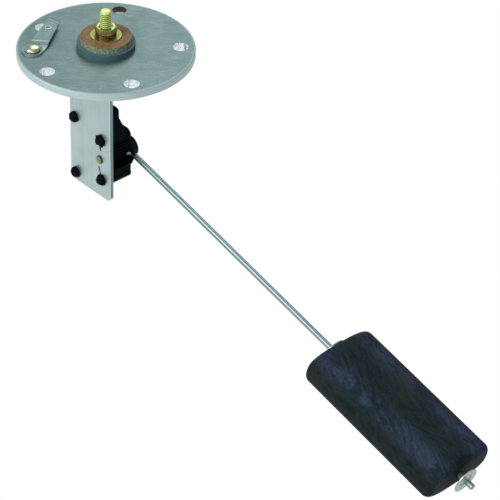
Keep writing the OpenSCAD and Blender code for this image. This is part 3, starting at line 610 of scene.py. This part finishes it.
class SENDER_OT_terminal(bpy.types.Operator):
    """Cut the stud thread and finish the nut and the washers"""
    bl_idname = "sender.terminal"
    bl_label = "Terminal stack"

    def execute(self, context):
        yellow = tuple(colours().yellow)
        copper = tuple(colours().copper)
        stud = yellow_plating("stud_plating", (0.93, 0.98, 0.32), (0.74, 0.79, 0.20), (0.94, 0.98, 0.58), 0.34, 0.5, roots=True)
        bm = bmesh.new()
        turned(bm, [
            (0.0, -5.6), (3.3, -5.6), (3.6, -5.3), (3.6, STUD_HEAD_TOP), (2.05, STUD_HEAD_TOP),
            (2.05, NUT_BASE + 0.1), (1.70, NUT_BASE + 0.3), (1.70, STUD_TOP - 0.9), (1.80, STUD_TOP - 0.7), (1.72, STUD_TOP - 0.2), (1.45, STUD_TOP), (0.0, STUD_TOP),
        ], 48)
        pitch = sizes().thread_pitch / MM
        ridge = helix_thread(bm, 1.68, STUD_RADIUS, NUT_BASE + 0.25, STUD_TOP - 0.6 + pitch, pitch)
        for vert in ridge:
            radius = math.hypot(vert.co.x, vert.co.y)
            limit = max(1.5, STUD_RADIUS - max(0.0, vert.co.z - (STUD_TOP - 0.75)))
            if radius > limit:
                vert.co.x *= limit / radius
                vert.co.y *= limit / radius
            vert.co.z = min(vert.co.z, STUD_TOP - 0.02)
        bmesh.ops.recalc_face_normals(bm, faces=bm.faces)
        new_piece("stud_with_thread", bm, stud, "sender", ("terminal_stud",))
        dress(yellow_plating("nut_plating", yellow, tuple(c * 0.6 for c in yellow), (0.86, 0.88, 0.48), 0.22), "terminal_nut")
        dress(yellow_plating("washer_plating", (0.30, 0.335, 0.10), (0.27, 0.24, 0.06), (0.27, 0.37, 0.17), 0.32, rim=WASHER_RADIUS), "flat_washer")
        dress(yellow_plating("lock_washer_plating", copper, (0.10, 0.05, 0.04), (0.84, 0.50, 0.38), 0.24, patch=0.9), "lock_washer")
        return {"FINISHED"}


class SENDER_OT_insulators(bpy.types.Operator):
    """Finish the brown washers, the bush and the rubber seal"""
    bl_idname = "sender.insulators"
    bl_label = "Insulating washers and seal"

    def execute(self, context):
        dress(laminate("washer_laminate", INSULATOR_TOP), "insulating_washer")
        dress(laminate("bush_laminate", -1.3), "insulating_bush", "lower_insulator")
        dress(seal_rubber(), "seal_washer")
        return {"FINISHED"}


class SENDER_OT_bracket(bpy.types.Operator):
    """Finish the folded sheet bracket"""
    bl_idname = "sender.bracket"
    bl_label = "Bracket"

    def execute(self, context):
        dress(brushed_sheet(), "bracket")
        return {"FINISHED"}


class SENDER_OT_housing(bpy.types.Operator):
    """Finish the moulded housing and form its four stake heads"""
    bl_idname = "sender.housing"
    bl_label = "Sender housing"

    def execute(self, context):
        moulding = black_moulding("housing_moulding")
        dress(moulding, "sender_housing")
        heads = black_moulding("stake_moulding", 0.0045, 0.32)
        radius = sizes().stake_radius / MM
        for number, (x, z) in enumerate(STAKES):
            bm = bmesh.new()
            bmesh.ops.create_uvsphere(bm, u_segments=40, v_segments=28, radius=1.0)
            bmesh.ops.scale(bm, vec=(radius, radius * 0.92, radius), verts=bm.verts)
            seed = Vector((number * 7.1, 3.3, number * 2.7))
            for vert in bm.verts:
                push = noise.noise(vert.co * 0.7 + seed) * 0.32 + noise.noise(vert.co * 1.9 + seed) * 0.16
                if number == 0:
                    push += sum(0.42 * math.exp(-(vert.co.angle(Vector(horn)) / 0.22) ** 2) for horn in HORNS)
                vert.co += vert.co.normalized() * push
                vert.co.y = max(vert.co.y, -1.70 + noise.noise(vert.co * 1.1 + seed) * 0.14) - 0.25
            bmesh.ops.translate(bm, vec=(x, PLATE_FRONT, z), verts=bm.verts)
            bmesh.ops.bisect_plane(bm, geom=bm.verts[:] + bm.edges[:] + bm.faces[:], plane_co=(0, PLATE_FRONT + 0.02, 0),
                                   plane_no=(0, 1, 0), clear_outer=True)
            bmesh.ops.holes_fill(bm, edges=[e for e in bm.edges if e.is_boundary])
            bmesh.ops.recalc_face_normals(bm, faces=bm.faces)
            new_piece(f"stake_head_{number + 1}", bm, heads, "sender", crease=60)
        return {"FINISHED"}


class SENDER_OT_resistor(bpy.types.Operator):
    """Finish the insulator sheet, the resistor card, its winding and the feed strap"""
    bl_idname = "sender.resistor"
    bl_label = "Resistor and feed strap"

    def execute(self, context):
        brass = tuple(colours().brass)
        dress(pale_sheet("sheet_board", (0.62, 0.56, 0.44), (0.46, 0.40, 0.30)), "insulator_sheet")
        dress(pale_sheet("card_board", (0.36, 0.23, 0.12), (0.22, 0.13, 0.06)), "resistor_card")
        dress(wound_wire(), "resistor_winding")
        dress(plated_metal("strap_brass", brass, tuple(c * 0.7 for c in brass), grain_axis=(3.0, 3.0, 0.1), grain=0.5), "feed_strap", "strap_rivet")
        return {"FINISHED"}


class SENDER_OT_rotor(bpy.types.Operator):
    """Finish the pivot pin, the rotor and the wiper contact"""
    bl_idname = "sender.rotor"
    bl_label = "Rotor and pivot"

    def execute(self, context):
        dress(black_moulding("rotor_moulding", 0.0030, 0.50), "rotor")
        brass = pin_brass()
        bm = bmesh.new()
        turned(bm, [
            (0.0, 3.5), (1.1, 3.5), (1.4, 3.2), (1.4, PLATE_FRONT + 0.05), (1.58, PLATE_FRONT + 0.02), (1.62, PLATE_FRONT - 0.35),
            (1.52, PLATE_FRONT - 0.55), (1.30, PLATE_FRONT - 0.60), (0.55, PLATE_FRONT - 0.52), (0.0, PLATE_FRONT - 0.50),
        ], 48)
        bmesh.ops.rotate(bm, matrix=Matrix.Rotation(math.radians(-90), 3, "X"), verts=bm.verts)
        bmesh.ops.translate(bm, vec=(PIVOT.x, 0, PIVOT.z), verts=bm.verts)
        bmesh.ops.recalc_face_normals(bm, faces=bm.faces)
        new_piece("pin_end", bm, brass, "sender", ("pivot_pin",), crease=40)
        dress(plated_metal("wiper_bronze", (0.78, 0.56, 0.26), (0.50, 0.32, 0.13), grain_axis=(0.3, 2.0, 2.0), grain=0.5, metal=0.5), "wiper_contact")
        return {"FINISHED"}


class SENDER_OT_arm(bpy.types.Operator):
    """Finish the rod and its two push nuts"""
    bl_idname = "sender.arm"
    bl_label = "Arm and push nuts"

    def execute(self, context):
        dress(drawn_wire(), "float_arm")
        nuts = plated_metal("push_nut_steel", (0.46, 0.54, 0.49), (0.30, 0.37, 0.33), grain_axis=(1.2, 1.2, 1.2), grain=0.3, metal=0.6, rough=0.36)
        dress(nuts, "upper_push_nut", "lower_push_nut")
        return {"FINISHED"}


class SENDER_OT_float(bpy.types.Operator):
    """Finish the foam float"""
    bl_idname = "sender.float_finish"
    bl_label = "Float"

    def execute(self, context):
        start, end = 116.95, 179.98
        steps = 96
        around = [math.tau * (number + 0.5) / steps for number in range(steps)]

        def section(x, half_width, half_thick, power):
            return [Vector((x,
                            ARM_Y + math.copysign(abs(math.cos(a)) ** (2 / power) * half_width, math.cos(a)),
                            math.copysign(abs(math.sin(a)) ** (2 / power) * half_thick, math.sin(a)))) for a in around]

        rings = [section(start, BORE, BORE, 2.0)]
        for turn in range(11):
            step = FLOAT_EDGE * (1.0 - math.cos(math.radians(9 * turn)))
            inset = FLOAT_EDGE * (1.0 - math.sin(math.radians(9 * turn)))
            rings.append(section(start + step, FLOAT_HALF - inset, 7.0 - inset, 2.9))
        for ring in reversed(rings[1:]):
            rings.append([Vector((start + end - v.x, v.y, v.z)) for v in ring])
        rings.append(section(end, BORE, BORE, 2.0))
        bm = bmesh.new()
        made = bmesh.ops.create_circle(bm, cap_ends=False, segments=steps, radius=1.0)["verts"]
        first = list(bm.edges)
        order = list(made)
        loop = first
        for vert, place in zip(order, rings[0]):
            vert.co = place
        for ring in rings[1:]:
            out = bmesh.ops.extrude_edge_only(bm, edges=loop)["geom"]
            loop = [item for item in out if isinstance(item, bmesh.types.BMEdge)]
            fresh = {vert for edge in loop for vert in edge.verts}
            order = [next(e.other_vert(v) for e in v.link_edges if e.other_vert(v) in fresh) for v in order]
            for vert, place in zip(order, ring):
                vert.co = place
        bmesh.ops.bridge_loops(bm, edges=first + loop)
        bmesh.ops.rotate(bm, matrix=Matrix.Rotation(ARM_ANGLE, 3, "Y"), verts=bm.verts)
        bmesh.ops.translate(bm, vec=(PIVOT.x, 0, PIVOT.z), verts=bm.verts)
        bmesh.ops.recalc_face_normals(bm, faces=bm.faces)
        new_piece("float_body", bm, float_skin(), "float", ("float",), crease=50)
        return {"FINISHED"}


class SENDER_OT_stage(bpy.types.Operator):
    """Set the pale floor, the soft lamps, the world and the camera"""
    bl_idname = "sender.stage"
    bl_label = "Studio"

    def execute(self, context):
        scene = bpy.context.scene
        floor_material = Finish("studio_floor", Roughness=0.9)
        floor_material.shader.inputs["Specular IOR Level"].default_value = 0.1
        tone = floor_material.noise(floor_material.place(), 0.002, 2, 0.5)
        floor_material.feed(Base_Color=floor_material.mix(tone, (0.86, 0.86, 0.86), (0.88, 0.88, 0.88)))
        tree = floor_material.tree
        ray = tree.nodes.new("ShaderNodeLightPath")
        seen = Wire(floor_material, ray.outputs["Is Glossy Ray"]) * 0.85 + Wire(floor_material, ray.outputs["Is Camera Ray"])
        glow = tree.nodes.new("ShaderNodeEmission")
        glow.inputs["Strength"].default_value = 1.0
        blend = tree.nodes.new("ShaderNodeMixShader")
        amount = seen * 1.0
        amount.socket.node.use_clamp = True
        tree.links.new(amount.socket, blend.inputs["Fac"])
        tree.links.new(floor_material.shader.outputs[0], blend.inputs[1])
        tree.links.new(glow.outputs[0], blend.inputs[2])
        output = next(n for n in tree.nodes if n.type == "OUTPUT_MATERIAL")
        tree.links.new(blend.outputs[0], output.inputs["Surface"])

        bm = bmesh.new()
        bmesh.ops.create_grid(bm, x_segments=8, y_segments=8, size=4.0)
        bmesh.ops.translate(bm, vec=(0, 0, -sizes().floor_depth), verts=bm.verts)
        mesh = bpy.data.meshes.new("floor")
        bm.to_mesh(mesh)
        bm.free()
        mesh.materials.append(floor_material.material)
        floor = bpy.data.objects.new("floor", mesh)
        scene.collection.objects.link(floor)

        world = bpy.data.worlds.new("studio_world")
        world.use_nodes = True
        scene.world = world
        nodes = world.node_tree.nodes
        links = world.node_tree.links
        nodes.clear()
        out = nodes.new("ShaderNodeOutputWorld")
        soft = nodes.new("ShaderNodeBackground")
        soft.inputs["Color"].default_value = (0.86, 0.98, 1.0, 1.0)
        soft.inputs["Strength"].default_value = 0.40
        white = nodes.new("ShaderNodeBackground")
        white.inputs["Color"].default_value = (1, 1, 1, 1)
        white.inputs["Strength"].default_value = 1.0
        path = nodes.new("ShaderNodeLightPath")
        either = nodes.new("ShaderNodeMath")
        either.operation = "MAXIMUM"
        links.new(path.outputs["Is Camera Ray"], either.inputs[0])
        links.new(path.outputs["Is Transmission Ray"], either.inputs[1])
        mixed = nodes.new("ShaderNodeMixShader")
        links.new(either.outputs[0], mixed.inputs["Fac"])
        links.new(soft.outputs[0], mixed.inputs[1])
        links.new(white.outputs[0], mixed.inputs[2])
        links.new(mixed.outputs[0], out.inputs["Surface"])

        target = Vector((0.07, 0.0, -0.04))
        for name, place, width, power in (
            ("lamp_key", (-0.15, -0.95, 0.85), 0.60, 12.0),
            ("lamp_front", (0.75, -0.95, 0.35), 0.55, 3.0),
            ("lamp_back", (-0.55, 0.75, 0.95), 0.60, 5.0),
        ):
            light = bpy.data.lights.new(name, "AREA")
            light.shape = "SQUARE"
            light.size = width
            light.energy = power
            light.color = (0.90, 0.99, 1.0)
            lamp = bpy.data.objects.new(name, light)
            lamp.location = place
            lamp.rotation_euler = (target - Vector(place)).to_track_quat("-Z", "Y").to_euler()
            scene.collection.objects.link(lamp)

        azimuth, elevation, roll = math.radians(45.818), math.radians(36.359), math.radians(2.405)
        ahead = Vector((-math.sin(azimuth) * math.cos(elevation), math.cos(azimuth) * math.cos(elevation), -math.sin(elevation)))
        right = Vector((math.cos(azimuth), math.sin(azimuth), 0.0))
        up = right.cross(ahead)
        side = right * math.cos(roll) + up * math.sin(roll)
        top = up * math.cos(roll) - right * math.sin(roll)
        data = bpy.data.cameras.new("camera")
        data.lens = sizes().lens
        data.sensor_width = 36.0
        data.clip_end = 20.0
        camera = bpy.data.objects.new("camera", data)
        turn = Matrix((side, top, -ahead)).transposed().to_4x4()
        camera.matrix_world = Matrix.Translation(Vector((0.49557, -0.40471, 0.38360))) @ turn
        scene.collection.objects.link(camera)
        scene.camera = camera
        scene.view_settings.view_transform = "Standard"
        return {"FINISHED"}


class SENDER_PT_panel(bpy.types.Panel):
    """Lists the sizes, the colours and the steps that build the sender"""
    bl_label = "Fuel level sender"
    bl_idname = "SENDER_PT_panel"
    bl_space_type = "VIEW_3D"
    bl_region_type = "UI"
    bl_category = "Sender"

    def draw(self, context):
        for group in (context.scene.sender_sizes, context.scene.sender_colours):
            for key in group.bl_rna.properties.keys():
                if key not in {"rna_type", "name"}:
                    self.layout.prop(group, key)
        for step in STEPS:
            self.layout.operator(step.bl_idname)


STEPS = (
    SENDER_OT_stage, SENDER_OT_flange, SENDER_OT_terminal, SENDER_OT_insulators, SENDER_OT_bracket,
    SENDER_OT_housing, SENDER_OT_resistor, SENDER_OT_rotor, SENDER_OT_arm, SENDER_OT_float,
)
CLASSES = (SenderSizes, SenderColours, *STEPS, SENDER_PT_panel)


def register():
    for item in CLASSES:
        bpy.utils.register_class(item)
    bpy.types.Scene.sender_sizes = PointerProperty(type=SenderSizes)
    bpy.types.Scene.sender_colours = PointerProperty(type=SenderColours)


def unregister():
    del bpy.types.Scene.sender_sizes
    del bpy.types.Scene.sender_colours
    for item in reversed(CLASSES):
        bpy.utils.unregister_class(item)


def main():
    register()
    for step in STEPS:
        group, name = step.bl_idname.split(".")
        getattr(getattr(bpy.ops, group), name)()


if __name__ == "__main__":
    main()
